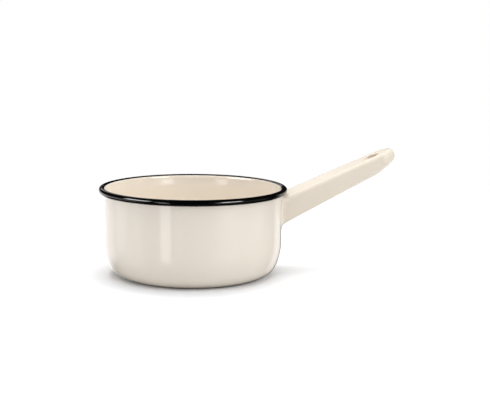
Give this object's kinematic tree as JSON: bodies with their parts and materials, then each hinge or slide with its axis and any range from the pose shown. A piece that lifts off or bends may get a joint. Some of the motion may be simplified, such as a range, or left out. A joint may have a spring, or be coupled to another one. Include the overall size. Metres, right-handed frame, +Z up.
{
  "type": "saucepan",
  "caption": "Enamelled steel saucepan with a deep-drawn pot, a black-edged rolled rim and one hollow rising handle with a hanging hole near its tip.",
  "frame": {"origin": "on the pot's axis, in the plane of the foot ring that the saucepan stands on", "axes": "+Z up along the pot's axis, +X from the pot's axis out along the handle, +Y to the left of the handle seen from the pot"},
  "size_m": [0.2784, 0.1722, 0.1125],
  "materials": {
    "steel": "satin",
    "weld_metal": "satin",
    "cream_enamel": "gloss",
    "black_enamel": "gloss",
    "ground_coat": "gloss"
  },
  "bodies": {
    "root": {"pot_shell": "steel", "inner_enamel": "cream_enamel", "outer_enamel": "cream_enamel", "base_enamel": "ground_coat", "rim_enamel": "black_enamel", "handle_upper": "steel", "handle_lower": "steel", "handle_seam_weld": "weld_metal", "handle_root_weld": "weld_metal", "handle_enamel": "cream_enamel"}
  },
  "joints": []
}
